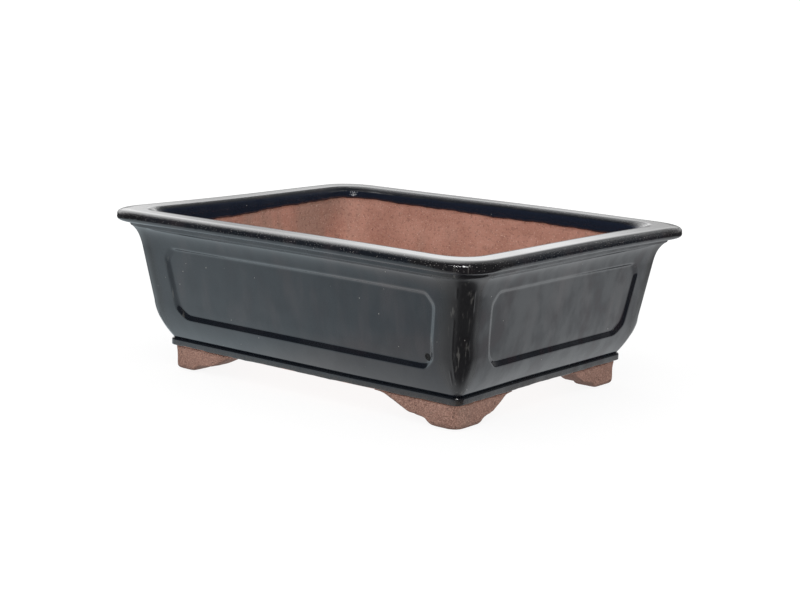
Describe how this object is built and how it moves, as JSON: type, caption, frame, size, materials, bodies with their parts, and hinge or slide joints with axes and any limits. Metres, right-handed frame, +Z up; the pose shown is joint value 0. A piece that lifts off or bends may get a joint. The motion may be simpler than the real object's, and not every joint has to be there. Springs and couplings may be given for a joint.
{
  "type": "rectangular planter",
  "caption": "Shallow rectangular bonsai planter in stoneware with a wide flat lip, recessed wall panels, corner feet and a dark glaze outside, for growing a small tree.",
  "frame": {"origin": "on the ground under the middle of the planter", "axes": "+X along the length, +Y towards the back, +Z up"},
  "size_m": [0.25, 0.206, 0.0884],
  "materials": {
    "clay": "bare fired stoneware, matt and gritty",
    "glaze": "glossy blue-black glaze"
  },
  "bodies": {
    "root": {"floor_slab": "clay", "wall_front": "clay", "wall_right": "clay", "wall_back": "clay", "wall_left": "clay", "lip_front": "clay", "lip_right": "clay", "lip_back": "clay", "lip_left": "clay", "base_rail_front": "clay", "base_rail_right": "clay", "base_rail_back": "clay", "base_rail_left": "clay", "foot_front_left": "clay", "foot_front_right": "clay", "foot_back_left": "clay", "foot_back_right": "clay", "glaze_coat": "glaze"}
  },
  "joints": []
}
